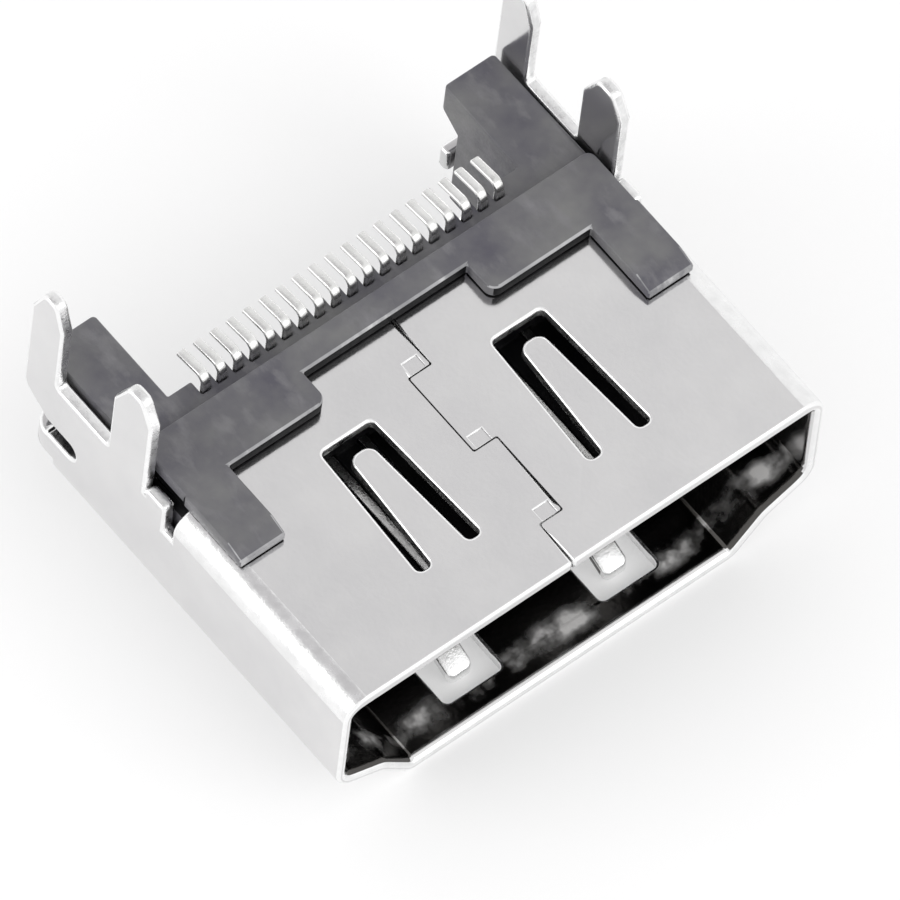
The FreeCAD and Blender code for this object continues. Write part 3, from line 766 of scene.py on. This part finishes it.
# %% Give the housing its painted highlight and its painted shade
TOP_EDGE = 5.35
FLASH_TILT = 0.25
ARM_FRONT = 4.58
ARM_MARGIN = 0.1
CORE_END = 8.6
CORE_MARGIN = 0.05


def is_plain_round(place, normal):
    return not (place.z > TOP_EDGE and normal.z > FLASH_TILT and normal.y < -FLASH_TILT)


def is_arm_front(place, normal):
    near_tip = place.y - MOUTH < ARM_FRONT + ARM_MARGIN and place.z > WIDE_FACE
    return near_tip and normal.y < -FACING


def is_painted_shade(place, normal):
    in_core = place.z < WIDE_FACE + CORE_MARGIN and place.y - MOUTH < CORE_END
    return in_core or normal.y < -FACING


print("plain rounds:", set_finish(housing, plastic_face, is_plain_round, over=plastic_flash_and_highlight))
# The arm fronts' light colour is a painted highlight.
print("arm front faces:", set_finish(housing, plastic_flash_and_highlight, is_arm_front, over=plastic_face))
# The near-black faces are painted shade.
print("dark faces:", set_finish(housing, plastic_painted_shade, is_painted_shade, over=plastic_face))

# %% [markdown]
# ## Floor
#
# The part lies on white card that ends nowhere in the picture. A plane lit by lamps alone comes
# out grey, and more light would wash out the socket. So the card glows a little, but only for rays
# from the camera and for those that metal mirrors, and it still takes the socket's shadow.

# %% White card
FLOOR_RADIUS = 600 * MM
FLOOR_SIDES = 96
FLOOR_WHITE = 0.97
FLOOR_ROUGHNESS = 0.9
GLOW_SHARE = 0.35

bpy.ops.object.select_all(action="DESELECT")
bpy.ops.mesh.primitive_circle_add(
    vertices=FLOOR_SIDES, radius=FLOOR_RADIUS, fill_type="NGON", location=(0, 0, 0))
floor = bpy.context.object
floor.name = "pale_floor"
card = bpy.data.materials.new("white_card")
card.use_nodes = True
card_tree = card.node_tree
card_shader = card_tree.nodes["Principled BSDF"]
card_shader.inputs["Base Color"].default_value = (FLOOR_WHITE, FLOOR_WHITE, FLOOR_WHITE, 1.0)
card_shader.inputs["Roughness"].default_value = FLOOR_ROUGHNESS
card_shader.inputs["Specular IOR Level"].default_value = 0.0
print("floor radius in mm:", round(FLOOR_RADIUS / MM))


# %% Let the card glow for the rays that show it
def seen_directly(tree):
    """1 for rays from the camera, or from metal and glass that show the background."""
    ray = add_node(tree, "ShaderNodeLightPath")
    seen = add_node(tree, "ShaderNodeMath", operation="MAXIMUM")
    either = add_node(tree, "ShaderNodeMath", operation="MAXIMUM")
    tree.links.new(ray.outputs["Is Camera Ray"], either.inputs[0])
    tree.links.new(ray.outputs["Is Glossy Ray"], either.inputs[1])
    tree.links.new(either.outputs["Value"], seen.inputs[0])
    tree.links.new(ray.outputs["Is Transmission Ray"], seen.inputs[1])
    return seen.outputs["Value"]


glow = add_node(card_tree, "ShaderNodeEmission")
share = add_node(card_tree, "ShaderNodeMath", operation="MULTIPLY")
share.inputs[1].default_value = GLOW_SHARE
card_tree.links.new(seen_directly(card_tree), share.inputs[0])
blend = add_node(card_tree, "ShaderNodeMixShader")
card_tree.links.new(share.outputs["Value"], blend.inputs["Fac"])
card_tree.links.new(card_shader.outputs["BSDF"], blend.inputs[1])
card_tree.links.new(glow.outputs["Emission"], blend.inputs[2])
card_tree.links.new(blend.outputs["Shader"], card_tree.nodes["Material Output"].inputs["Surface"])
floor.data.materials.append(card)

# %% [markdown]
# ## Surroundings
#
# Metal shows its surroundings more than itself, so they matter as much as the lamps. A white tent
# puts bright lines on every rounded edge. In it hangs one soft grey card. Seen from the camera,
# the wide face mirrors its soft rim, and takes its light grey from there. Tent and card could be
# built as objects, but the world can hold both: it turns grey towards one direction, by the dot
# product with it.

# %% Tent with its grey card
TENT_WHITE = (1.0, 1.0, 1.0)
CARD_GREY = (0.60, 0.59, 0.60)
CARD_TOWARD = Vector((-0.10, 0.36, 0.93))
CARD_RIM = math.radians(34)
CARD_CORE = math.radians(14)

world = bpy.data.worlds.new("studio")
bpy.context.scene.world = world
world.use_nodes = True
tent = world.node_tree
background = tent.nodes["Background"]
direction = add_node(tent, "ShaderNodeTexCoord")
nearness = add_node(tent, "ShaderNodeVectorMath", operation="DOT_PRODUCT")
nearness.inputs[1].default_value = CARD_TOWARD
tent.links.new(direction.outputs["Generated"], nearness.inputs[0])
card_mask = add_node(tent, "ShaderNodeMapRange", interpolation_type="SMOOTHSTEP")
card_mask.inputs["From Min"].default_value = math.cos(CARD_RIM)
card_mask.inputs["From Max"].default_value = math.cos(CARD_CORE)
tent.links.new(nearness.outputs["Value"], card_mask.inputs["Value"])
tent_color = mix_colors(tent, card_mask.outputs["Result"], TENT_WHITE, CARD_GREY)
tent.links.new(tent_color, background.inputs["Color"])
background.inputs["Strength"].default_value = 1.0
print("grey card, degrees from its middle to its rim:", round(math.degrees(CARD_RIM)))

# %% [markdown]
# ## Lamps
#
# The tent alone gives hardly any shadow. Small lamps would add hard ones, which the photograph
# doesn't have. So two softboxes, one beside the part and one in front, are large and near, which
# keeps the rims of their shadows soft. They also lay a gentle slope of light over the plastic.

# %% Softboxes
SOFTBOX_DISTANCE = 220 * MM
SOFTBOX_SIZE = 130 * MM


def add_softbox(name, azimuth, elevation, energy):
    """A square lamp that looks at the part from a direction. Azimuth 0 is in front of the mouth."""
    toward = Vector((
        math.sin(azimuth) * math.cos(elevation),
        -math.cos(azimuth) * math.cos(elevation),
        math.sin(elevation),
    ))
    bpy.ops.object.light_add(type="AREA", location=toward * SOFTBOX_DISTANCE)
    softbox = bpy.context.object
    softbox.name = name
    softbox.rotation_euler = toward.to_track_quat("Z", "Y").to_euler()
    softbox.data.shape = "SQUARE"
    softbox.data.size = SOFTBOX_SIZE
    softbox.data.energy = energy
    return softbox


side_softbox = add_softbox("side_softbox", math.radians(-113), math.radians(22), 0.12)
front_softbox = add_softbox("front_softbox", math.radians(20), math.radians(38), 0.09)
print("lamps:", side_softbox.name, front_softbox.name)

# %% [markdown]
# ## Finish
#
# Last, the colour view is set to Standard.

# %% Colour view
bpy.context.scene.view_settings.view_transform = "Standard"
